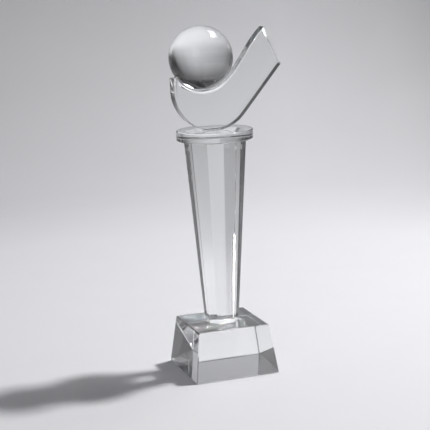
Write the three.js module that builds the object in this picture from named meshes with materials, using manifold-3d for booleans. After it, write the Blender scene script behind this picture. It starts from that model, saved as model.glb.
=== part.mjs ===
// Crystal award on a tapered column, in millimetres, +Z up.
//
// From the table upwards: a square tapered base block, an eight-sided column that widens
// upwards, a round disc, and a flat sail-shaped plate that stands on its curved lower edge
// and holds a solid crystal ball in a concave seat. Thin layers of cured clear adhesive
// join the pieces, and each layer is a piece of its own.
//
// The origin is the centre of the base's underside. The front faces -Y, the plate's point
// leans towards +X, and the ball sits on the -X side.

import * as THREE from 'three';
import { mergeVertices } from 'three/addons/utils/BufferGeometryUtils.js';
import Module from 'manifold-3d';

const wasm = await Module();
wasm.setup();

// ---------------------------------------------------------------- driving dimensions

const polishedBevel = 0.6;            // narrow ground edge on the base, column and disc

const baseBottomWidth = 80;
const baseTopWidth = 68;
const baseHeight = 45;
const baseCornerBevel = 0.8;          // leg of the bevel on the four sloping corners

const columnSides = 8;
const columnBottomAcrossFlats = 29;
const columnTopAcrossFlats = 52.7;
const columnHeight = 170;

const discDiameter = 70;
const discThickness = 9;

const plateThickness = 13;
const plateEdgeBevel = 0.5;
const footRadius = 37.5;              // the plate's curved lower edge
const footFlatWidth = 14;             // ground flat that the plate stands on
const footOffsetX = -1;               // foot's centre line from the column's axis
const keelAngle = 49.5 * Math.PI / 180;     // lower right edge above the horizontal
const keelLength = 57;
const leadingEdgeAngle = 65.7 * Math.PI / 180;  // upper right edge above the horizontal
const leadingEdgeLength = 37.3;
const backEdgeTipAngle = 42.5 * Math.PI / 180;  // slope of the hollow edge at the point
const backEdgeTipReach = 25;          // how far the edge keeps that slope
const backEdgeSeatReach = 22.5;       // how far it keeps the seat's slope

const ballDiameter = 58;
const glassUnderSeat = 34.9;          // from the foot's flat to the lowest point of the seat
const hornWidth = 3;                  // blunt end of the plate on the ball's outer side
const hornAngle = 33 * Math.PI / 180;       // seat's outer end below the ball's centre
const lipAngle = 60 * Math.PI / 180;        // seat's inner end below the ball's centre
const seatBevel = 1.5;                // ground edge along the seat's two rims

const bondThickness = 0.2;            // adhesive between two flat faces
const bondInset = 0.5;                // bare margin round a bond
const seatBondThickness = 1;          // adhesive between ball and seat
const seatBondClearance = 0.3;        // from the bead's solid to the glass on each side
const seatBondEndAngle = 3 * Math.PI / 180;

const overshoot = 1;                  // how far a cutting solid runs past what it cuts

const discSegments = 96;
const ballSegments = 64;
const arcSegments = 40;

// ---------------------------------------------------------------- derived dimensions

const columnFootZ = baseHeight + bondThickness;
const discFootZ = columnFootZ + columnHeight + bondThickness;
const plateFootZ = discFootZ + discThickness + bondThickness;

const ballRadius = ballDiameter / 2;
const seatRadius = ballRadius + seatBondThickness;

// The plate's outline is drawn in its own plane: x as in the award, y upwards from the foot.
const footFlatAngle = Math.asin(footFlatWidth / 2 / footRadius);
const footCentre = new THREE.Vector2(footOffsetX, footRadius * Math.cos(footFlatAngle));
const outerEdgeX = footCentre.x - footRadius;
const seatCentre = new THREE.Vector2(
  outerEdgeX + hornWidth + seatRadius * Math.cos(hornAngle),
  glassUnderSeat + seatRadius,
);
const hornTopY = seatCentre.y - seatRadius * Math.sin(hornAngle);

const ballCentre = new THREE.Vector3(seatCentre.x, 0, plateFootZ + seatCentre.y);

// ---------------------------------------------------------------- geometry helpers

function toSolid(geometry) {
  const plain = geometry.clone();
  plain.deleteAttribute('normal');
  plain.deleteAttribute('uv');
  const merged = mergeVertices(plain, 1e-4);
  return new wasm.Manifold(new wasm.Mesh({
    numProp: 3,
    vertProperties: new Float32Array(merged.attributes.position.array),
    triVerts: new Uint32Array(merged.index.array),
  }));
}

function toGeometry(solid) {
  const mesh = solid.getMesh();
  const geometry = new THREE.BufferGeometry();
  geometry.setAttribute('position', new THREE.BufferAttribute(mesh.vertProperties, 3));
  geometry.setIndex(new THREE.BufferAttribute(mesh.triVerts, 1));
  geometry.computeVertexNormals();
  return geometry;
}

// A solid of revolution about +Z. With few segments it is a regular prism or pyramid, and
// the profile's first number is then half the distance across the flats. The first flat
// faces turn radians round from -Y.
function turned(profile, segments, turn = 0) {
  const toCorner = 1 / Math.cos(Math.PI / segments);
  const points = profile.map(([halfWidth, z]) => new THREE.Vector2(halfWidth * toCorner, z));
  const geometry = new THREE.LatheGeometry(points, segments, Math.PI / segments + turn);
  return geometry.rotateX(Math.PI / 2);
}

// A straight-sided block whose width changes evenly from bottom to top, with a polished
// bevel round both ends.
function taperedProfile(bottomWidth, topWidth, height) {
  return [
    [0, 0],
    [bottomWidth / 2 - polishedBevel, 0],
    [bottomWidth / 2, polishedBevel],
    [topWidth / 2, height - polishedBevel],
    [topWidth / 2 - polishedBevel, height],
    [0, height],
  ];
}

// ---------------------------------------------------------------- materials

function crystal(color, roughness) {
  return new THREE.MeshStandardMaterial({ color, roughness, metalness: 0 });
}

const polishedCrystal = crystal(0xe4eaec, 0.02);
const ballCrystal = crystal(0xd6dadd, 0.01);
const curedAdhesive = crystal(0xf0efe6, 0.15);

function part(name, geometry, material) {
  const mesh = new THREE.Mesh(geometry, material);
  mesh.name = name;
  return mesh;
}

// ---------------------------------------------------------------- base block

function baseBlock() {
  const block = turned(taperedProfile(baseBottomWidth, baseTopWidth, baseHeight), 4);
  const cut = baseCornerBevel / Math.SQRT2;
  const footCorner = baseBottomWidth / Math.SQRT2 - cut;
  const topCorner = baseTopWidth / Math.SQRT2 - cut;
  const cornerTrim = turned([
    [0, -overshoot],
    [footCorner, -overshoot],
    [footCorner, 0],
    [topCorner, baseHeight],
    [topCorner, baseHeight + overshoot],
    [0, baseHeight + overshoot],
  ], 4, Math.PI / 4);
  return toGeometry(toSolid(block).intersect(toSolid(cornerTrim)));
}

// ---------------------------------------------------------------- column

function column() {
  const profile = taperedProfile(columnBottomAcrossFlats, columnTopAcrossFlats, columnHeight);
  return turned(profile, columnSides).translate(0, 0, columnFootZ);
}

// ---------------------------------------------------------------- top disc

function topDisc() {
  const profile = taperedProfile(discDiameter, discDiameter, discThickness);
  return turned(profile, discSegments).translate(0, 0, discFootZ);
}

// ---------------------------------------------------------------- sail plate

function plateOutline() {
  const keelStart = new THREE.Vector2(
    footCentre.x + footRadius * Math.sin(keelAngle),
    footCentre.y - footRadius * Math.cos(keelAngle),
  );
  const corner = new THREE.Vector2(
    keelStart.x + keelLength * Math.cos(keelAngle),
    keelStart.y + keelLength * Math.sin(keelAngle),
  );
  const tip = new THREE.Vector2(
    corner.x - leadingEdgeLength * Math.cos(leadingEdgeAngle),
    corner.y + leadingEdgeLength * Math.sin(leadingEdgeAngle),
  );
  const lip = new THREE.Vector2(
    seatCentre.x + seatRadius * Math.cos(lipAngle),
    seatCentre.y - seatRadius * Math.sin(lipAngle),
  );
  const down = -Math.PI / 2;

  const outline = new THREE.Shape();
  outline.moveTo(footCentre.x - footFlatWidth / 2, 0);
  outline.absarc(footCentre.x, footCentre.y, footRadius, down + footFlatAngle, down + keelAngle);
  outline.lineTo(corner.x, corner.y);
  outline.lineTo(tip.x, tip.y);
  outline.bezierCurveTo(
    tip.x - backEdgeTipReach * Math.cos(backEdgeTipAngle),
    tip.y - backEdgeTipReach * Math.sin(backEdgeTipAngle),
    lip.x + backEdgeSeatReach * Math.sin(lipAngle),
    lip.y + backEdgeSeatReach * Math.cos(lipAngle),
    lip.x,
    lip.y,
  );
  outline.absarc(seatCentre.x, seatCentre.y, seatRadius, -lipAngle, hornAngle - Math.PI, true);
  outline.lineTo(outerEdgeX, hornTopY);
  outline.absarc(footCentre.x, footCentre.y, footRadius, -Math.PI, down - footFlatAngle);
  return outline;
}

// Cuts the ground bevels along the seat's front and back rims.
function seatBevelCutter() {
  const bevelStart = plateThickness / 2 - seatBevel;
  const outerY = plateThickness / 2 + overshoot;
  return turned([
    [0, -outerY],
    [seatRadius + seatBevel + overshoot, -outerY],
    [seatRadius - overshoot, -bevelStart + overshoot],
    [seatRadius - overshoot, bevelStart - overshoot],
    [seatRadius + seatBevel + overshoot, outerY],
    [0, outerY],
  ], discSegments).translate(seatCentre.x, seatCentre.y, 0);
}

function sailPlate() {
  const slab = new THREE.ExtrudeGeometry(plateOutline(), {
    depth: plateThickness - 2 * plateEdgeBevel,
    curveSegments: arcSegments,
    bevelEnabled: true,
    bevelThickness: plateEdgeBevel,
    bevelSize: plateEdgeBevel,
    bevelOffset: -plateEdgeBevel,
    bevelSegments: 1,
  });
  slab.translate(0, 0, plateEdgeBevel - plateThickness / 2);
  const plate = toSolid(slab).subtract(toSolid(seatBevelCutter()));
  return toGeometry(plate).rotateX(Math.PI / 2).translate(0, 0, plateFootZ);
}

// ---------------------------------------------------------------- crystal ball

function crystalBall() {
  const ball = new THREE.SphereGeometry(ballRadius, ballSegments, ballSegments / 2);
  return ball.rotateX(Math.PI / 2).translate(ballCentre.x, ballCentre.y, ballCentre.z);
}

// ---------------------------------------------------------------- cured adhesive

// An eight-sided layer on one end of the column.
function columnBond(acrossFlats, z) {
  const halfWidth = acrossFlats / 2 - polishedBevel - bondInset;
  const profile = [[0, 0], [halfWidth, 0], [halfWidth, bondThickness], [0, bondThickness]];
  return turned(profile, columnSides).translate(0, 0, z);
}

function plateFootBond() {
  const width = footFlatWidth - 2 * bondInset;
  const depth = plateThickness - 2 * plateEdgeBevel - 2 * bondInset;
  const layer = new THREE.BoxGeometry(width, depth, bondThickness);
  return layer.translate(footCentre.x, 0, plateFootZ - bondThickness / 2);
}

// A curved bead between ball and seat, clear of both by the named clearance.
function ballSeatBond() {
  const inner = ballRadius + seatBondClearance;
  const outer = seatRadius - seatBondClearance;
  const start = hornAngle - Math.PI + seatBondEndAngle;
  const end = -lipAngle - seatBondEndAngle;
  const width = plateThickness - 2 * seatBevel - 2 * bondInset;
  const section = new THREE.Shape();
  section.absarc(seatCentre.x, seatCentre.y, outer, start, end);
  section.absarc(seatCentre.x, seatCentre.y, inner, end, start, true);
  const bead = new THREE.ExtrudeGeometry(section, {
    depth: width,
    curveSegments: arcSegments,
    bevelEnabled: false,
  });
  return bead.translate(0, 0, -width / 2).rotateX(Math.PI / 2).translate(0, 0, plateFootZ);
}

// ---------------------------------------------------------------- the award

const award = new THREE.Group();
award.add(
  part('base_block', baseBlock(), polishedCrystal),
  part('base_column_bond', columnBond(columnBottomAcrossFlats, baseHeight), curedAdhesive),
  part('column', column(), polishedCrystal),
  part('column_disc_bond', columnBond(columnTopAcrossFlats, columnFootZ + columnHeight), curedAdhesive),
  part('top_disc', topDisc(), polishedCrystal),
  part('disc_plate_bond', plateFootBond(), curedAdhesive),
  part('sail_plate', sailPlate(), polishedCrystal),
  part('ball_seat_bond', ballSeatBond(), curedAdhesive),
  part('crystal_ball', crystalBall(), ballCrystal),
);

export default award;
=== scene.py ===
"""A bonded crystal award and the plain studio it is shown in, built round its CAD frame.

Every piece is a closed solid of clear crystal. Where adhesive joins two pieces, the faces it
wets have no visible surface, because the adhesive bends light as much as the crystal does.
"""

from math import asin, cos, pi, radians, sin

import bmesh
import bpy
from mathutils import Matrix, Vector
from mathutils.geometry import interpolate_bezier


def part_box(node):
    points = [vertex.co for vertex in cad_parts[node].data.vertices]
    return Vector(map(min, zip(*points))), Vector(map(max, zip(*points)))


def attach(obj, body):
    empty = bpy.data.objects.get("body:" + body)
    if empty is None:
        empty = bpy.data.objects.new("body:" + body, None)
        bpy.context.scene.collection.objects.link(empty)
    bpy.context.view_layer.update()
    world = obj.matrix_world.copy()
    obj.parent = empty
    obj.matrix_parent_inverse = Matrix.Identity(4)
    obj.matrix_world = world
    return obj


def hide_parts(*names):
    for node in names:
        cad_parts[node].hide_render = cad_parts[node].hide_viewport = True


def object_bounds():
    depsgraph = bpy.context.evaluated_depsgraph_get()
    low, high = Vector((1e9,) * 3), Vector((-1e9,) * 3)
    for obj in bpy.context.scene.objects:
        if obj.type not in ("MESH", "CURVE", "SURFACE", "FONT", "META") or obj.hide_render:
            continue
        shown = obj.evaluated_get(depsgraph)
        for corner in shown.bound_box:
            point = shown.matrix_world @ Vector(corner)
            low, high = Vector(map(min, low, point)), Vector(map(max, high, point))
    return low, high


bl_info = {
    "name": "Crystal Award",
    "version": (1, 0, 0),
    "blender": (4, 5, 0),
    "location": "3D View > Sidebar > Award",
    "description": "Builds a crystal award from its bonded pieces, with a plain studio",
    "category": "Object",
}

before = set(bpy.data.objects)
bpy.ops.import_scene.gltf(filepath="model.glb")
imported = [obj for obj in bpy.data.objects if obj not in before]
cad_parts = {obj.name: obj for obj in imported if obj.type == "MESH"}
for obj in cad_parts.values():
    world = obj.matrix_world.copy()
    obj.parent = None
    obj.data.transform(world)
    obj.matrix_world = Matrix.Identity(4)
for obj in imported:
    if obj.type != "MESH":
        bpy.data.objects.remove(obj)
CAD_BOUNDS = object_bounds()

MM = 0.001
BODY = "root"

# The camera stands this far round from the front, towards the left.
CAMERA_AZIMUTH = radians(-19.107)

# How far the floor lies below the award, so that the two don't share a plane
FLOOR_GAP = 0.2 * MM

# Places in the material list of every piece
POLISHED, GROUND, WETTED, HAND_POLISHED = 0, 1, 2, 3

# A Mix node's sockets share their names, so they are found by place: the inputs for two
# numbers, those for two colours, and the output for the mixed colour.
NUMBER_A, NUMBER_B = 2, 3
COLOUR_A, COLOUR_B = 6, 7
MIXED_COLOUR = 2


# ------------------------------------------------------------------ settings


def length(label, text, millimetres):
    return bpy.props.FloatProperty(
        name=label, description=text, default=millimetres * MM, min=0.0, unit="LENGTH", precision=5
    )


def angle(label, text, degrees):
    return bpy.props.FloatProperty(
        name=label, description=text, default=radians(degrees), subtype="ANGLE"
    )


def number(label, text, value):
    return bpy.props.FloatProperty(name=label, description=text, default=value)


def hex_colour(label, text, value):
    return bpy.props.StringProperty(name=label, description=text, default=value)


class AwardSizes(bpy.types.PropertyGroup):
    base_top: length("Base top", "Width of the base block's top", 68)
    base_bevel: length("Base bevel", "Width of the ground bevel on the base", 0.7)
    column_foot: length("Column foot", "Across the flats at the column's foot", 29)
    column_arris: length("Column arris", "Width of the ground edges on the column", 0.35)
    disc_bevel: length("Disc bevel", "Width of the ground bevel on the disc", 0.6)

    foot_radius: length("Foot radius", "Radius of the plate's curved lower edge", 37.5)
    foot_flat: length("Foot flat", "Width of the flat that the plate stands on", 14)
    foot_offset: length("Foot offset", "Foot's centre, left of the column's axis", 1)
    keel_angle: angle("Keel angle", "Lower right edge above the horizontal", 49.5)
    keel_length: length("Keel length", "Length of the lower right edge", 57)
    leading_angle: angle("Leading angle", "Upper right edge above the horizontal", 65.7)
    leading_length: length("Leading length", "Length of the upper right edge", 37.3)
    tip_slope: angle("Tip slope", "Slope of the hollow edge at the point", 42.5)
    tip_reach: length("Tip reach", "How far the hollow edge keeps that slope", 25)
    lip_reach: length("Lip reach", "How far it keeps the seat's slope", 22.5)
    lip_angle: angle("Lip angle", "Seat's inner end below the ball's centre", 60)
    horn_angle: angle("Horn angle", "Seat's outer end below the ball's centre", 33)
    plate_bevel: length("Plate bevel", "Width of the ground bevel on the plate", 0.5)
    seat_bevel: length("Seat bevel", "Width of the ground bevel on the seat's rims", 1.5)
    seat_bond: length("Seat bond", "Thickness of adhesive between ball and seat", 1)
    bead_width: length("Bead width", "Width of the adhesive bead under the ball", 9)


class CrystalLook(bpy.types.PropertyGroup):
    tint: hex_colour("Tint", "Colour of the crystal seen through its faces", "#FDFEFE")
    ior: number("IOR", "Refractive index of optical crystal", 1.517)
    ground_tint: hex_colour("Ground tint", "Colour of the ground bevels", "#FCFDFD")
    adhesive_tint: hex_colour("Adhesive tint", "Colour of the cured adhesive", "#FBF6EA")


class StudioLook(bpy.types.PropertyGroup):
    floor_colour: hex_colour("Floor", "Colour of the floor", "#F0F0F3")
    room_colour: hex_colour("Room", "Colour of the room's walls near the floor", "#505053")
    ceiling_colour: hex_colour("Ceiling", "Colour of the lit ceiling panel", "#B9B9BE")
    dark_colour: hex_colour("Dark", "Colour of the unlit parts of the room", "#1C1C1E")
    key_power: number("Key", "Power of the key lamp, in watts", 26.0)
    softbox_power: number("Softbox", "Power of the softbox, in watts", 3.5)
    fill_power: number("Fill", "Power of the front fill, in watts", 2.0)


def sizes():
    return bpy.context.scene.award_sizes


def look():
    return bpy.context.scene.crystal_look


def studio():
    return bpy.context.scene.studio_look


# ------------------------------------------------------------------ colours and nodes


def linear(hex_text):
    """An sRGB hex colour as the linear, opaque colour that shaders take."""
    channels = [int(hex_text[i : i + 2], 16) / 255 for i in (1, 3, 5)]
    red, green, blue = (
        c / 12.92 if c <= 0.04045 else ((c + 0.055) / 1.055) ** 2.4 for c in channels
    )
    return red, green, blue, 1.0


def node(tree, kind, links=None, **settings):
    """Adds a node, sets its properties and input values, and links inputs to sockets."""
    made = tree.nodes.new(kind)
    for key, value in settings.items():
        if hasattr(made, key):
            setattr(made, key, value)
        else:
            made.inputs[key.replace("_", " ")].default_value = value
    for key, socket in (links or {}).items():
        tree.links.new(socket, made.inputs[key])
    return made


def empty_material(name):
    material = bpy.data.materials.new(name)
    material.use_nodes = True
    material.node_tree.nodes.clear()
    return material, material.node_tree


# ------------------------------------------------------------------ crystal materials


def polished_crystal(name, waviness, haze):
    """Lead-free optical crystal, lapped flat and polished with cerium oxide.

    It bends light as borosilicate crown glass does. The polish is close to a mirror: what shows
    that a face was polished by hand is a very slight waviness and a few patches of wiped-off haze.
    """
    material, tree = empty_material(name)
    place = node(tree, "ShaderNodeTexCoord").outputs["Object"]
    # Hand polishing leaves waves about 14 mm across, far too low to feel.
    waves = node(tree, "ShaderNodeTexNoise", {"Vector": place}, Scale=70.0, Detail=1.0)
    low_waves = {"Height": waves.outputs[0]}
    bump = node(tree, "ShaderNodeBump", low_waves, Strength=waviness, Distance=0.4 * MM)
    # Patches of haze from wiping, about 25 mm across with streaks in them.
    patches = node(
        tree, "ShaderNodeTexNoise", {"Vector": place}, Scale=40.0, Detail=4.0, Roughness=0.6
    )
    roughness = node(
        tree,
        "ShaderNodeMapRange",
        {"Value": patches.outputs[0]},
        From_Min=0.5,
        From_Max=0.8,
        To_Min=0.0,
        To_Max=haze,
    )
    shader = node(
        tree,
        "ShaderNodeBsdfPrincipled",
        {"Roughness": roughness.outputs[0], "Normal": bump.outputs[0]},
        Base_Color=linear(look().tint),
        IOR=look().ior,
        Transmission_Weight=1.0,
    )
    node(tree, "ShaderNodeOutputMaterial", {"Surface": shader.outputs[0]})
    return material


def ground_edge():
    """The narrow bevels, ground on a fine wheel and only part polished.

    They scatter a little, so they show as soft light or dark lines between the clear faces.
    """
    material, tree = empty_material("ground_crystal_edge")
    place = node(tree, "ShaderNodeTexCoord").outputs["Object"]
    # Wheel marks about 0.4 mm apart, the finest that can show.
    marks = node(tree, "ShaderNodeTexNoise", {"Vector": place}, Scale=2500.0, Detail=2.0)
    scratches = {"Height": marks.outputs[0]}
    bump = node(tree, "ShaderNodeBump", scratches, Strength=0.15, Distance=0.1 * MM)
    shader = node(
        tree,
        "ShaderNodeBsdfPrincipled",
        {"Normal": bump.outputs[0]},
        Base_Color=linear(look().ground_tint),
        Roughness=0.08,
        IOR=look().ior,
        Transmission_Weight=1.0,
    )
    node(tree, "ShaderNodeOutputMaterial", {"Surface": shader.outputs[0]})
    return material


def hand_polished_edge():
    """The plate's curved edges, shaped on a belt and polished by hand.

    They are as glossy as the flat faces, but a little uneven, so what they mirror breaks up.
    """
    material, tree = empty_material("hand_polished_crystal_edge")
    place = node(tree, "ShaderNodeTexCoord").outputs["Object"]
    # Low facets about 5 mm long, left by each pass over the belt.
    facets = node(
        tree,
        "ShaderNodeTexVoronoi",
        {"Vector": place},
        feature="SMOOTH_F1",
        Scale=190.0,
        Smoothness=0.35,
    )
    low_relief = {"Height": facets.outputs["Distance"]}
    bump = node(tree, "ShaderNodeBump", low_relief, Strength=0.45, Distance=0.4 * MM)
    shader = node(
        tree,
        "ShaderNodeBsdfPrincipled",
        {"Normal": bump.outputs[0]},
        Base_Color=linear(look().tint),
        Roughness=0.01,
        IOR=look().ior,
        Transmission_Weight=1.0,
    )
    node(tree, "ShaderNodeOutputMaterial", {"Surface": shader.outputs[0]})
    return material


def wetted_face():
    """A face under cured adhesive: both sides bend light alike, so no surface shows."""
    material, tree = empty_material("wetted_face")
    clear = node(tree, "ShaderNodeBsdfTransparent", Color=(1.0, 1.0, 1.0, 1.0))
    node(tree, "ShaderNodeOutputMaterial", {"Surface": clear.outputs[0]})
    return material


def cured_adhesive():
    """UV-cured acrylic adhesive: glossy, water clear with a trace of warmth at its edge."""
    material, tree = empty_material("cured_adhesive")
    place = node(tree, "ShaderNodeTexCoord").outputs["Object"]
    # The squeezed-out edge ripples every 3 mm or so.
    ripple = node(tree, "ShaderNodeTexNoise", {"Vector": place}, Scale=330.0, Detail=2.0)
    ripples = {"Height": ripple.outputs[0]}
    bump = node(tree, "ShaderNodeBump", ripples, Strength=0.3, Distance=0.2 * MM)
    shader = node(
        tree,
        "ShaderNodeBsdfPrincipled",
        {"Normal": bump.outputs[0]},
        Base_Color=linear(look().adhesive_tint),
        Roughness=0.03,
        IOR=look().ior,
        Transmission_Weight=1.0,
    )
    node(tree, "ShaderNodeOutputMaterial", {"Surface": shader.outputs[0]})
    return material


def shared(name, maker, *details):
    """One material of each name, made the first time that a piece asks for it."""
    return bpy.data.materials.get(name) or maker(*details)


def crystal_finishes(name, waviness, haze):
    """The three materials that every crystal piece has, in the order of their places."""
    return [
        shared(name, polished_crystal, name, waviness, haze),
        shared("ground_crystal_edge", ground_edge),
        shared("wetted_face", wetted_face),
    ]


def adhesive_finishes():
    """The same for adhesive, which has no ground edges."""
    clear = shared("cured_adhesive", cured_adhesive)
    return [clear, clear, shared("wetted_face", wetted_face)]


# ------------------------------------------------------------------ mesh helpers


def place_piece(name, mesh_data, finishes, cad_node):
    """Closes up the mesh, gives it its finishes, and puts it in for its CAD node."""
    bmesh.ops.remove_doubles(mesh_data, verts=mesh_data.verts, dist=1e-7)
    bmesh.ops.recalc_face_normals(mesh_data, faces=mesh_data.faces)
    mesh = bpy.data.meshes.new(name)
    mesh_data.to_mesh(mesh)
    mesh_data.free()
    for finish in finishes:
        mesh.materials.append(finish)
    mesh.shade_smooth()
    # Curves are cut finely enough that only real corners are sharper than this.
    mesh.set_sharp_from_angle(angle=radians(9))
    piece = bpy.data.objects.new(name, mesh)
    piece.cycles.is_caustics_caster = True
    bpy.context.scene.collection.objects.link(piece)
    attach(piece, BODY)
    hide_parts(cad_node)


def add_loop(bm, points):
    """New vertices at the points, not yet joined."""
    return [bm.verts.new(p) for p in points]


def join_loops(bm, lower, upper, finish=POLISHED, closed=True):
    """A band of quads between two loops of the same length.

    The finish is one for the whole band, or a list with one for each quad.
    """
    count = len(lower)
    last = count if closed else count - 1
    for i in range(last):
        j = (i + 1) % count
        face = bm.faces.new((lower[i], lower[j], upper[j], upper[i]))
        face.material_index = finish[i] if isinstance(finish, list) else finish


def close_loop(bm, loop, finish=POLISHED):
    """One flat face over a whole loop."""
    bm.faces.new(loop).material_index = finish


def fill_between(bm, outer, inner):
    """Fills the flat region between an outer loop and a loop inside it, as a polished face."""
    edges = []
    for loop in (outer, inner):
        for i, vert in enumerate(loop):
            after = loop[(i + 1) % len(loop)]
            edges.append(bm.edges.get((vert, after)) or bm.edges.new((vert, after)))
    made = bmesh.ops.triangle_fill(bm, edges=edges, use_beauty=True, use_dissolve=False)
    for item in made["geom"]:
        if isinstance(item, bmesh.types.BMFace):
            item.material_index = POLISHED


def regular_loop(sides, across_flats, z, first_corner=None):
    """Corners of a regular polygon whose flats face the sides of the base.

    With first_corner, the polygon starts at that angle instead.
    """
    corner = across_flats / 2 / cos(pi / sides)
    start = pi / sides if first_corner is None else first_corner
    turns = [start + 2 * pi * i / sides for i in range(sides)]
    return [Vector((corner * cos(turn), corner * sin(turn), z)) for turn in turns]


def rectangle_loop(width, depth, z, centre_x=0.0):
    x, y = width / 2, depth / 2
    corners = ((-x, -y), (x, -y), (x, y), (-x, y))
    return [Vector((centre_x + right, back, z)) for right, back in corners]


def column_film_outline(cad_node, z):
    """The outline of the film at one end of the column, as a regular octagon."""
    low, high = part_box(cad_node)
    return regular_loop(8, high.x - low.x, z)


def foot_film_outline(z):
    """The outline of the film under the plate's foot, as a rectangle."""
    low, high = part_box("disc_plate_bond")
    return rectangle_loop(high.x - low.x, high.y - low.y, z, (low.x + high.x) / 2)


# ------------------------------------------------------------------ base block


def bevelled_taper(sides, lower_across, upper_across, low_z, high_z, bevel):
    """The mesh of a tapered block with every edge bevelled, closed at both ends."""
    bm = bmesh.new()
    lower = add_loop(bm, regular_loop(sides, lower_across, low_z))
    upper = add_loop(bm, regular_loop(sides, upper_across, high_z))
    join_loops(bm, lower, upper)
    close_loop(bm, lower)
    close_loop(bm, upper)
    bmesh.ops.recalc_face_normals(bm, faces=bm.faces)
    bmesh.ops.bevel(
        bm,
        geom=list(bm.edges),
        offset=bevel,
        offset_type="OFFSET",
        segments=1,
        affect="EDGES",
        material=GROUND,
    )
    return bm


def cut_patch(bm, z, outline):
    """Parts the level face at height z into a wetted patch of that outline and the rest."""
    level = [f for f in bm.faces if abs(f.normal.z) > 0.99]
    at_height = [f for f in level if abs(f.calc_center_median().z - z) < 1e-6]
    face = max(at_height, key=lambda f: f.calc_area())
    around = list(face.verts)
    bm.faces.remove(face)
    patch = add_loop(bm, outline)
    fill_between(bm, around, patch)
    close_loop(bm, patch, WETTED)


def build_base_block():
    low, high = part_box("base_block")
    bm = bevelled_taper(
        4, high.x - low.x, sizes().base_top, low.z, high.z, sizes().base_bevel
    )
    cut_patch(bm, high.z, column_film_outline("base_column_bond", high.z))
    finishes = crystal_finishes("polished_crystal_block", waviness=0.10, haze=0.012)
    place_piece("base_block_polished", bm, finishes, "base_block")


# ------------------------------------------------------------------ column


def build_column():
    low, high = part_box("column")
    bm = bevelled_taper(
        8, sizes().column_foot, high.x - low.x, low.z, high.z, sizes().column_arris
    )
    cut_patch(bm, low.z, column_film_outline("base_column_bond", low.z))
    cut_patch(bm, high.z, column_film_outline("column_disc_bond", high.z))
    finishes = crystal_finishes("polished_crystal_column", waviness=0.08, haze=0.01)
    place_piece("column_polished", bm, finishes, "column")


# ------------------------------------------------------------------ top disc


def build_top_disc():
    low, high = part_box("top_disc")
    rim_segments = 192
    width = high.x - low.x
    bevel = sizes().disc_bevel
    bm = bmesh.new()
    loops = [
        add_loop(bm, regular_loop(rim_segments, across, z, first_corner=0.0))
        for across, z in (
            (width - 2 * bevel, low.z),
            (width, low.z + bevel),
            (width, high.z - bevel),
            (width - 2 * bevel, high.z),
        )
    ]
    for lower, upper, finish in zip(loops, loops[1:], (GROUND, POLISHED, GROUND)):
        join_loops(bm, lower, upper, finish)
    under = add_loop(bm, column_film_outline("column_disc_bond", low.z))
    on_top = add_loop(bm, foot_film_outline(high.z))
    for rim, patch in ((loops[0], under), (loops[-1], on_top)):
        fill_between(bm, rim, patch)
        close_loop(bm, patch, WETTED)
    finishes = crystal_finishes("polished_crystal_disc", waviness=0.08, haze=0.012)
    place_piece("top_disc_polished", bm, finishes, "top_disc")


# ------------------------------------------------------------------ sail plate


def arc(centre, radius, start, end):
    """Points about 2 degrees apart on an arc in the plate's plane, both ends included."""
    count = max(2, int(abs(end - start) / radians(2.0) + 0.5))
    turns = [start + (end - start) * i / count for i in range(count + 1)]
    return [Vector((centre.x + radius * cos(t), centre.y + radius * sin(t))) for t in turns]


def seat_centre():
    """The ball's centre, in the plate's plane (x, z)."""
    low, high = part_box("crystal_ball")
    middle = (low + high) / 2
    return Vector((middle.x, middle.z))


def ball_radius():
    low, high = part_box("crystal_ball")
    return (high.z - low.z) / 2


def plate_outline():
    """The plate's outline in its plane, anticlockwise from the foot, as (point, edge name)."""
    s = sizes()
    foot_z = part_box("sail_plate")[0].z
    down = -pi / 2
    half_flat = asin(s.foot_flat / 2 / s.foot_radius)
    foot = Vector((-s.foot_offset, foot_z + s.foot_radius * cos(half_flat)))
    keel_start = down + s.keel_angle
    keel = foot + s.foot_radius * Vector((cos(keel_start), sin(keel_start)))
    corner = keel + s.keel_length * Vector((cos(s.keel_angle), sin(s.keel_angle)))
    lean = Vector((-cos(s.leading_angle), sin(s.leading_angle)))
    tip = corner + s.leading_length * lean
    centre = seat_centre()
    seat_radius = ball_radius() + s.seat_bond
    lip = centre + seat_radius * Vector((cos(s.lip_angle), -sin(s.lip_angle)))
    tip_handle = tip - s.tip_reach * Vector((cos(s.tip_slope), sin(s.tip_slope)))
    lip_handle = lip + s.lip_reach * Vector((sin(s.lip_angle), cos(s.lip_angle)))
    horn = arc(centre, seat_radius, -s.lip_angle, s.horn_angle - pi)
    outer_x = foot.x - s.foot_radius
    horn_top = Vector((outer_x, horn[-1].y))
    foot_left = Vector((foot.x - s.foot_flat / 2, foot_z))
    foot_right = Vector((foot.x + s.foot_flat / 2, foot_z))

    hollow_steps = 40
    handles = [p.to_3d() for p in (tip, tip_handle, lip_handle, lip)]
    hollow = [p.to_2d() for p in interpolate_bezier(*handles, hollow_steps)]
    edges = [
        ("curve", arc(foot, s.foot_radius, down + half_flat, keel_start)),
        ("keel", [keel, corner]),
        ("leading", [corner, tip]),
        ("hollow", hollow),
        ("seat", horn),
        ("horn", [horn[-1], horn_top]),
        ("outer", [horn_top, Vector((outer_x, foot.y))]),
        ("curve", arc(foot, s.foot_radius, -pi, down - half_flat)),
        ("foot", [foot_left, foot_right]),
    ]
    # Each point carries the name of the edge that leaves it.
    return [(point, name) for name, points in edges for point in points[:-1]]


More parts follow.
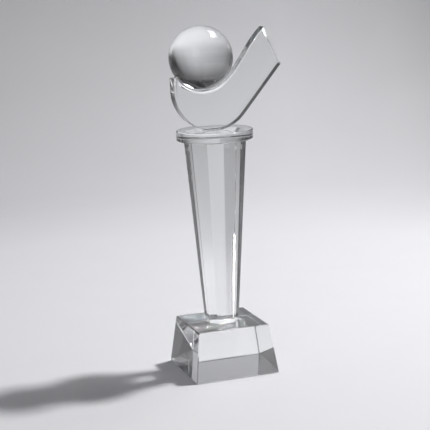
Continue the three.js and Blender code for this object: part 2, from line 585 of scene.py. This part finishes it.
def inset_loop(points, amounts):
    """Moves each point of an anticlockwise outline inwards, mitred at corners."""
    moved = []
    for i, point in enumerate(points):
        before = (point - points[i - 1]).normalized()
        after = (points[(i + 1) % len(points)] - point).normalized()
        normal_a = Vector((-before.y, before.x))
        normal_b = Vector((-after.y, after.x))
        miter = (normal_a + normal_b) / (1 + normal_a.dot(normal_b))
        moved.append(point + amounts[i] * miter)
    return moved


def bevel_widths(outline):
    """The ground bevel's width at each point: wide along the seat, narrow elsewhere."""
    s = sizes()
    lip = next(p for p, name in outline if name == "seat")
    # The wide bevel runs out along the hollow edge.
    run_out = 10 * MM
    widths = []
    for point, name in outline:
        if name == "seat":
            widths.append(s.seat_bevel)
        elif name == "hollow":
            share = max(0.0, 1.0 - (point - lip).length / run_out)
            widths.append(s.plate_bevel + (s.seat_bevel - s.plate_bevel) * share)
        else:
            widths.append(s.plate_bevel)
    return widths


def build_sail_plate():
    low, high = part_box("sail_plate")
    half = (high.y - low.y) / 2
    outline = plate_outline()
    points = [point for point, name in outline]
    names = [name for point, name in outline]
    widths = bevel_widths(outline)
    inner = inset_loop(points, widths)
    bead = sizes().bead_width / 2

    # Half-way round the edge from a face to the middle: the face, the rim and the bead's edge
    face = [(point, half) for point in inner]
    rim = [(point, half - width) for point, width in zip(points, widths)]
    bonded = [(point, bead) for point in points]
    bm = bmesh.new()
    front = [add_loop(bm, [(p.x, -y, p.y) for p, y in row]) for row in (face, rim, bonded)]
    back = [add_loop(bm, [(p.x, y, p.y) for p, y in row]) for row in (bonded, rim, face)]
    loops = front + back

    # The straight edges are lapped flat. The curved ones are finished by hand.
    wall = [POLISHED if name in ("keel", "leading", "foot") else HAND_POLISHED for name in names]
    middle = [WETTED if name in ("seat", "foot") else finish for name, finish in zip(names, wall)]
    bands = (GROUND, wall, middle, wall, GROUND)
    for lower, upper, finish in zip(loops, loops[1:], bands):
        join_loops(bm, lower, upper, finish)
    close_loop(bm, loops[0])
    close_loop(bm, loops[-1])
    bmesh.ops.triangulate(
        bm, faces=[f for f in bm.faces if len(f.verts) > 4], ngon_method="BEAUTY"
    )
    finishes = crystal_finishes("polished_crystal_plate", waviness=0.06, haze=0.01)
    finishes.append(shared("hand_polished_crystal_edge", hand_polished_edge))
    place_piece("sail_plate_polished", bm, finishes, "sail_plate")


# ------------------------------------------------------------------ crystal ball


def bead_angles():
    """The seat bead's two ends, measured about the ball's centre in the XZ plane."""
    s = sizes()
    return s.horn_angle - pi, -s.lip_angle


def build_crystal_ball():
    centre = seat_centre()
    radius = ball_radius()
    start, end = bead_angles()
    bead_tilt = asin(sizes().bead_width / 2 / radius)
    rows_bead, rows_cap = 12, 84
    columns_bead, columns_free = 96, 160

    # Rings round the Y axis. Ring spacing changes at the bead's edges so that it fits them.
    cap_tilt = pi / 2 - bead_tilt
    tilts = [-pi / 2 + cap_tilt * i / rows_cap for i in range(1, rows_cap + 1)]
    tilts += [-bead_tilt + 2 * bead_tilt * i / rows_bead for i in range(1, rows_bead)]
    tilts += [bead_tilt + cap_tilt * i / rows_cap for i in range(rows_cap)]
    turns = [start + (end - start) * i / columns_bead for i in range(columns_bead)]
    turns += [end + (2 * pi + start - end) * i / columns_free for i in range(columns_free)]

    def on_ball(tilt, turn):
        reach = radius * cos(tilt)
        return centre.x + reach * cos(turn), radius * sin(tilt), centre.y + reach * sin(turn)

    bm = bmesh.new()
    rings = [add_loop(bm, [on_ball(tilt, turn) for turn in turns]) for tilt in tilts]
    bonded = [WETTED] * columns_bead + [POLISHED] * columns_free
    for row, (lower, upper) in enumerate(zip(rings, rings[1:])):
        in_bead = rows_cap - 1 <= row < rows_cap - 1 + rows_bead
        join_loops(bm, lower, upper, bonded if in_bead else POLISHED)
    for pole_y, ring in ((-radius, rings[0]), (radius, rings[-1])):
        pole = bm.verts.new((centre.x, pole_y, centre.y))
        for i, vert in enumerate(ring):
            bm.faces.new((vert, ring[(i + 1) % len(ring)], pole))
    finishes = crystal_finishes("polished_crystal_ball", waviness=0.02, haze=0.006)
    place_piece("crystal_ball_polished", bm, finishes, "crystal_ball")


# ------------------------------------------------------------------ adhesive


def build_film(cad_node, lower_outline, upper_outline):
    """A thin film between two flat faces. Only its edge shows."""
    bm = bmesh.new()
    lower = add_loop(bm, lower_outline)
    upper = add_loop(bm, upper_outline)
    join_loops(bm, lower, upper)
    close_loop(bm, lower, WETTED)
    close_loop(bm, upper, WETTED)
    name = cad_node.replace("_bond", "_film")
    place_piece(name, bm, adhesive_finishes(), cad_node)


def build_flat_films():
    for cad_node in ("base_column_bond", "column_disc_bond"):
        low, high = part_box(cad_node)
        build_film(
            cad_node,
            column_film_outline(cad_node, low.z),
            column_film_outline(cad_node, high.z),
        )
    low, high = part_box("disc_plate_bond")
    build_film("disc_plate_bond", foot_film_outline(low.z), foot_film_outline(high.z))


def build_seat_bead():
    """The curved bead that fills the gap between ball and seat."""
    centre = seat_centre()
    radius = ball_radius()
    seat_radius = radius + sizes().seat_bond
    start, end = bead_angles()
    half = sizes().bead_width / 2
    steps_round, steps_across = 96, 12
    bead_tilt = asin(half / radius)

    # Points round the bead's section, as (distance from the ball's centre, y): the side on the
    # ball is round, and the side on the seat is straight.
    tilts = [-bead_tilt + 2 * bead_tilt * i / steps_across for i in range(steps_across + 1)]
    section = [(radius * cos(tilt), radius * sin(tilt)) for tilt in tilts]
    section += [(seat_radius, half), (seat_radius, -half)]

    bm = bmesh.new()
    turns = [start + (end - start) * i / steps_round for i in range(steps_round + 1)]
    sections = [
        add_loop(bm, [(centre.x + r * cos(turn), y, centre.y + r * sin(turn)) for r, y in section])
        for turn in turns
    ]
    finish = [WETTED] * steps_across + [POLISHED, WETTED, POLISHED]
    for before, after in zip(sections, sections[1:]):
        join_loops(bm, before, after, finish)
    close_loop(bm, sections[0])
    close_loop(bm, sections[-1])
    finishes = adhesive_finishes()
    place_piece("ball_seat_bead", bm, finishes, "ball_seat_bond")


# ------------------------------------------------------------------ studio


def matt_stage_material(name, colour, mottle_scale):
    """A matt painted or paper surface, even but for a very faint mottle."""
    material, tree = empty_material(name)
    place = node(tree, "ShaderNodeTexCoord").outputs["Object"]
    mottle = node(
        tree, "ShaderNodeTexNoise", {"Vector": place}, Scale=mottle_scale, Detail=3.0
    )
    tone = node(tree, "ShaderNodeMix", {"Factor": mottle.outputs[0]}, data_type="RGBA")
    pale = linear(colour)
    # The darkest spots of the mottle keep this share of the colour.
    darkest = 0.97
    tone.inputs[COLOUR_A].default_value = pale
    tone.inputs[COLOUR_B].default_value = (*(c * darkest for c in pale[:3]), 1.0)
    shader = node(
        tree,
        "ShaderNodeBsdfPrincipled",
        {"Base Color": tone.outputs[MIXED_COLOUR]},
        Roughness=0.6,
    )
    node(tree, "ShaderNodeOutputMaterial", {"Surface": shader.outputs[0]})
    return material


def floor_material():
    """White matt laminate, with a mottle a few centimetres across."""
    return matt_stage_material("matt_white_laminate", studio().floor_colour, 18.0)


def fade(tree, value, stops):
    """A curve with straight pieces through (value, strength) stops. Returns its socket."""
    low, high = stops[0][0], stops[-1][0]
    ranged = node(tree, "ShaderNodeMapRange", {"Value": value}, From_Min=low, From_Max=high)
    ramp = node(tree, "ShaderNodeValToRGB", {"Fac": ranged.outputs[0]})
    marks = ramp.color_ramp.elements
    for position, strength in stops[1:-1]:
        mark = marks.new((position - low) / (high - low))
        mark.color = (strength, strength, strength, 1.0)
    for mark, (position, strength) in ((marks[0], stops[0]), (marks[-1], stops[-1])):
        mark.color = (strength, strength, strength, 1.0)
    return ramp.outputs[0]


def sweep_material():
    """Background paper, white at its foot, with painted shade that greys it higher up, where less
    light reaches.

    The painted shade also darkens it towards its two ends, sooner on the right.
    """
    material = matt_stage_material("painted_shade_background_paper", studio().floor_colour, 9.0)
    tree = material.node_tree
    shader = next(n for n in tree.nodes if n.type == "BSDF_PRINCIPLED")
    plain = shader.inputs["Base Color"].links[0].from_socket
    place = node(tree, "ShaderNodeTexCoord").outputs["Object"]
    split = node(tree, "ShaderNodeSeparateXYZ", {"Vector": place})
    flat = node(tree, "ShaderNodeCombineXYZ", {"X": split.outputs["X"], "Y": split.outputs["Y"]})
    reach = node(tree, "ShaderNodeVectorMath", {"Vector": flat.outputs[0]}, operation="LENGTH")
    # Distance out along the floor and up the sweep, in metres from the award's foot.
    out_and_up = {0: reach.outputs["Value"], 1: split.outputs["Z"]}
    rise = node(tree, "ShaderNodeMath", out_and_up, operation="ADD")
    # The stops are (metres, share of the paper's white left by the painted shade).
    up = fade(
        tree,
        rise.outputs[0],
        (
            (0.62, 1.0),
            (0.80, 0.97),
            (1.06, 0.93),
            (1.34, 0.89),
            (1.52, 0.83),
            (1.74, 0.76),
            (1.84, 0.62),
            (1.99, 0.42),
            (2.15, 0.22),
            (2.38, 0.13),
        ),
    )
    # Shares of a full turn, from straight behind the award: the right side is negative.
    turn = node(tree, "ShaderNodeTexGradient", {"Vector": place}, gradient_type="RADIAL")
    behind = node(tree, "ShaderNodeMath", {0: turn.outputs["Fac"]}, operation="SUBTRACT")
    behind.inputs[1].default_value = 0.75
    # The painted shade at the ends comes sooner higher up.
    swell = node(tree, "ShaderNodeMath", {0: split.outputs["Z"]}, operation="MULTIPLY_ADD")
    swell.inputs[1].default_value = 0.9
    swell.inputs[2].default_value = 1.0
    sides = {0: behind.outputs[0], 1: swell.outputs[0]}
    across = node(tree, "ShaderNodeMath", sides, operation="MULTIPLY")
    # The stops are (share of a turn, share of the paper's white left by the painted shade).
    side = fade(
        tree,
        across.outputs[0],
        (
            (-0.145, 0.03),
            (-0.13, 0.11),
            (-0.117, 0.33),
            (-0.09, 0.57),
            (-0.064, 0.70),
            (-0.05, 0.84),
            (-0.02, 1.0),
            (0.0, 0.96),
            (0.045, 0.84),
            (0.095, 0.69),
            (0.115, 0.65),
            (0.16, 0.44),
            (0.21, 0.28),
        ),
    )
    # The sweep is evenly white where it lies on the floor.
    off_floor = fade(tree, rise.outputs[0], ((0.62, 0.0), (1.45, 1.0)))
    ends = node(tree, "ShaderNodeMix", {"Factor": off_floor, NUMBER_B: side}, data_type="FLOAT")
    ends.inputs[NUMBER_A].default_value = 1.0
    # The two fades together are the painted shade that greys the paper.
    both = node(tree, "ShaderNodeMath", {0: up, 1: ends.outputs[0]}, operation="MULTIPLY")
    grey = node(
        tree,
        "ShaderNodeMix",
        {COLOUR_A: plain, COLOUR_B: both.outputs[0]},
        data_type="RGBA",
        blend_type="MULTIPLY",
        Factor=1.0,
    )
    tree.links.new(grey.outputs[MIXED_COLOUR], shader.inputs["Base Color"])
    return material


def stage_mesh(name, mesh_data, material, smooth=False):
    """Adds a part of the studio. It also receives the light that the crystal bends."""
    mesh = bpy.data.meshes.new(name)
    mesh_data.to_mesh(mesh)
    mesh_data.free()
    mesh.materials.append(material)
    if smooth:
        mesh.shade_smooth()
    item = bpy.data.objects.new(name, mesh)
    item.cycles.is_caustics_receiver = True
    bpy.context.scene.collection.objects.link(item)
    return item


def build_backdrop():
    """A large floor, and a pale paper sweep that curves up out of it behind the award."""
    reach = 15.0
    floor_z = CAD_BOUNDS[0].z - FLOOR_GAP
    floor = bmesh.new()
    close_loop(floor, add_loop(floor, rectangle_loop(2 * reach, 2 * reach, floor_z)))
    stage_mesh("studio_floor", floor, floor_material())

    # The sweep bends round the award, and reaches further to the left than to the right.
    inner, radius, curve, height = 0.62, 1.36, 0.42, 1.02
    left, right = radians(-82), radians(52)
    bend_steps, round_steps = 24, 64
    # The paper lies just clear of the floor.
    lift = 0.03 * MM
    bends = [pi / 2 * i / bend_steps for i in range(bend_steps + 1)]
    profile = [(inner, lift)]
    profile += [
        (radius - curve + curve * sin(bend), lift + curve - curve * cos(bend)) for bend in bends
    ]
    profile.append((radius, height))
    turns = [left + (right - left) * i / round_steps for i in range(round_steps + 1)]
    sweep = bmesh.new()
    rows = [
        add_loop(sweep, [(out * sin(turn), out * cos(turn), floor_z + up) for turn in turns])
        for out, up in profile
    ]
    for lower, upper in zip(rows, rows[1:]):
        join_loops(sweep, lower, upper, closed=False)
    item = stage_mesh("studio_sweep", sweep, sweep_material(), smooth=True)
    item.rotation_euler = (0.0, 0.0, CAMERA_AZIMUTH)


def area_light(name, place, target, width, height, power):
    """A rectangular lamp that faces the target."""
    data = bpy.data.lights.new(name, "AREA")
    data.shape = "RECTANGLE"
    data.size, data.size_y = width, height
    data.energy = power
    lamp = bpy.data.objects.new(name, data)
    bpy.context.scene.collection.objects.link(lamp)
    lamp.location = place
    lamp.rotation_mode = "QUATERNION"
    lamp.rotation_quaternion = (target - place).to_track_quat("-Z", "Y")
    return lamp


def build_lights():
    """Places the key lamp, the softbox beside it and the fill."""
    middle = (CAD_BOUNDS[0] + CAD_BOUNDS[1]) / 2
    # The lamp stands high on the right. Its small face gives the shadow its edge, and the
    # light that it sends through the column shows inside the shadow.
    place = middle + 1.7 * Vector((0.485, 0.028, 0.874))
    lamp = area_light("key_lamp", place, middle, 0.15, 0.15, studio().key_power)
    lamp.data.cycles.is_caustics_light = True
    # The softbox is a little further back, and shows as a pale panel in every clear face.
    place = middle + 1.5 * Vector((0.51, 0.22, 0.83))
    area_light("softbox", place, middle, 0.58, 0.40, studio().softbox_power)
    # The fill stands to the left of the camera and lifts the shadows a little.
    place = middle + 1.9 * Vector((-0.55, -0.75, 0.45))
    area_light("front_fill", place, middle, 0.9, 0.9, studio().fill_power)


def build_room():
    """The unlit room round the studio, under a large pale ceiling panel."""
    world = bpy.data.worlds.new("studio_room")
    world.use_nodes = True
    tree = world.node_tree
    tree.nodes.clear()
    way = node(tree, "ShaderNodeTexCoord").outputs["Generated"]
    split = node(tree, "ShaderNodeSeparateXYZ", {"Vector": way})
    height = node(tree, "ShaderNodeValToRGB", {"Fac": split.outputs["Z"]})
    # The stops are sines of the elevation: grey walls up to the first, dark between the next
    # two, and the ceiling panel from the last one up.
    stops = height.color_ramp.elements
    stops[0].position, stops[0].color = 0.05, linear(studio().room_colour)
    stops[1].position, stops[1].color = 0.93, linear(studio().ceiling_colour)
    for position in (0.22, 0.88):
        stops.new(position).color = linear(studio().dark_colour)
    glow = node(tree, "ShaderNodeBackground", {"Color": height.outputs[0]}, Strength=1.0)
    node(tree, "ShaderNodeOutputWorld", {"Surface": glow.outputs[0]})
    bpy.context.scene.world = world


def build_camera():
    """Stands to the left of the front, above the ball, and looks down a little."""
    stand_off, azimuth, height = 1.128, CAMERA_AZIMUTH, 0.3648
    pan, tilt, roll = radians(-0.131), radians(11.02), radians(-2.285)
    data = bpy.data.cameras.new("camera")
    data.sensor_width = 36.0
    data.lens = 104.64
    data.clip_start, data.clip_end = 0.05, 40.0
    camera = bpy.data.objects.new("camera", data)
    bpy.context.scene.collection.objects.link(camera)
    camera.location = (stand_off * sin(azimuth), -stand_off * cos(azimuth), height)
    level = Matrix.Rotation(azimuth - pan, 4, "Z") @ Matrix.Rotation(pi / 2 - tilt, 4, "X")
    camera.rotation_mode = "QUATERNION"
    camera.rotation_quaternion = (level @ Matrix.Rotation(roll, 4, "Z")).to_quaternion()
    bpy.context.scene.camera = camera


def set_light_paths():
    """Clear solids need many bends of a ray before it leaves them."""
    cycles = bpy.context.scene.cycles
    cycles.max_bounces = 32
    cycles.transmission_bounces = 32
    cycles.transparent_max_bounces = 32
    cycles.glossy_bounces = 12
    cycles.caustics_refractive = True
    cycles.caustics_reflective = True
    cycles.blur_glossy = 0.5
    cycles.sample_clamp_indirect = 0.0
    bpy.context.scene.view_settings.view_transform = "Standard"


# ------------------------------------------------------------------ operators


class AWARD_OT_base_block(bpy.types.Operator):
    """Build the tapered base block"""

    bl_idname = "award.base_block"
    bl_label = "Base Block"

    def execute(self, context):
        build_base_block()
        return {"FINISHED"}


class AWARD_OT_column(bpy.types.Operator):
    """Build the eight-sided column"""

    bl_idname = "award.column"
    bl_label = "Column"

    def execute(self, context):
        build_column()
        return {"FINISHED"}


class AWARD_OT_top_disc(bpy.types.Operator):
    """Build the round disc on the column"""

    bl_idname = "award.top_disc"
    bl_label = "Top Disc"

    def execute(self, context):
        build_top_disc()
        return {"FINISHED"}


class AWARD_OT_sail_plate(bpy.types.Operator):
    """Build the flat plate that holds the ball"""

    bl_idname = "award.sail_plate"
    bl_label = "Sail Plate"

    def execute(self, context):
        build_sail_plate()
        return {"FINISHED"}


class AWARD_OT_crystal_ball(bpy.types.Operator):
    """Build the crystal ball"""

    bl_idname = "award.crystal_ball"
    bl_label = "Crystal Ball"

    def execute(self, context):
        build_crystal_ball()
        return {"FINISHED"}


class AWARD_OT_adhesive(bpy.types.Operator):
    """Build the films and the bead of cured adhesive"""

    bl_idname = "award.adhesive"
    bl_label = "Adhesive"

    def execute(self, context):
        build_flat_films()
        build_seat_bead()
        return {"FINISHED"}


class AWARD_OT_stage(bpy.types.Operator):
    """Build the floor, the lights, the room and the camera"""

    bl_idname = "award.stage"
    bl_label = "Studio"

    def execute(self, context):
        build_backdrop()
        build_lights()
        build_room()
        build_camera()
        set_light_paths()
        return {"FINISHED"}


class AWARD_PT_panel(bpy.types.Panel):
    """Lists the award's pieces and the settings that they are built from"""

    bl_label = "Crystal Award"
    bl_idname = "AWARD_PT_panel"
    bl_space_type = "VIEW_3D"
    bl_region_type = "UI"
    bl_category = "Award"

    def draw(self, context):
        column = self.layout.column(align=True)
        for operator in OPERATORS:
            column.operator(operator.bl_idname)
        for settings in (sizes(), look(), studio()):
            box = self.layout.box()
            for name in settings.__annotations__:
                box.prop(settings, name)


OPERATORS = (
    AWARD_OT_stage,
    AWARD_OT_base_block,
    AWARD_OT_column,
    AWARD_OT_top_disc,
    AWARD_OT_sail_plate,
    AWARD_OT_crystal_ball,
    AWARD_OT_adhesive,
)
SETTINGS = (
    ("award_sizes", AwardSizes),
    ("crystal_look", CrystalLook),
    ("studio_look", StudioLook),
)


def register():
    for name, group in SETTINGS:
        bpy.utils.register_class(group)
        setattr(bpy.types.Scene, name, bpy.props.PointerProperty(type=group))
    for item in (*OPERATORS, AWARD_PT_panel):
        bpy.utils.register_class(item)


def unregister():
    for item in (AWARD_PT_panel, *reversed(OPERATORS)):
        bpy.utils.unregister_class(item)
    for name, group in reversed(SETTINGS):
        delattr(bpy.types.Scene, name)
        bpy.utils.unregister_class(group)


def main():
    register()
    bpy.ops.award.stage()
    bpy.ops.award.base_block()
    bpy.ops.award.column()
    bpy.ops.award.top_disc()
    bpy.ops.award.sail_plate()
    bpy.ops.award.crystal_ball()
    bpy.ops.award.adhesive()


if __name__ == "__main__":
    main()
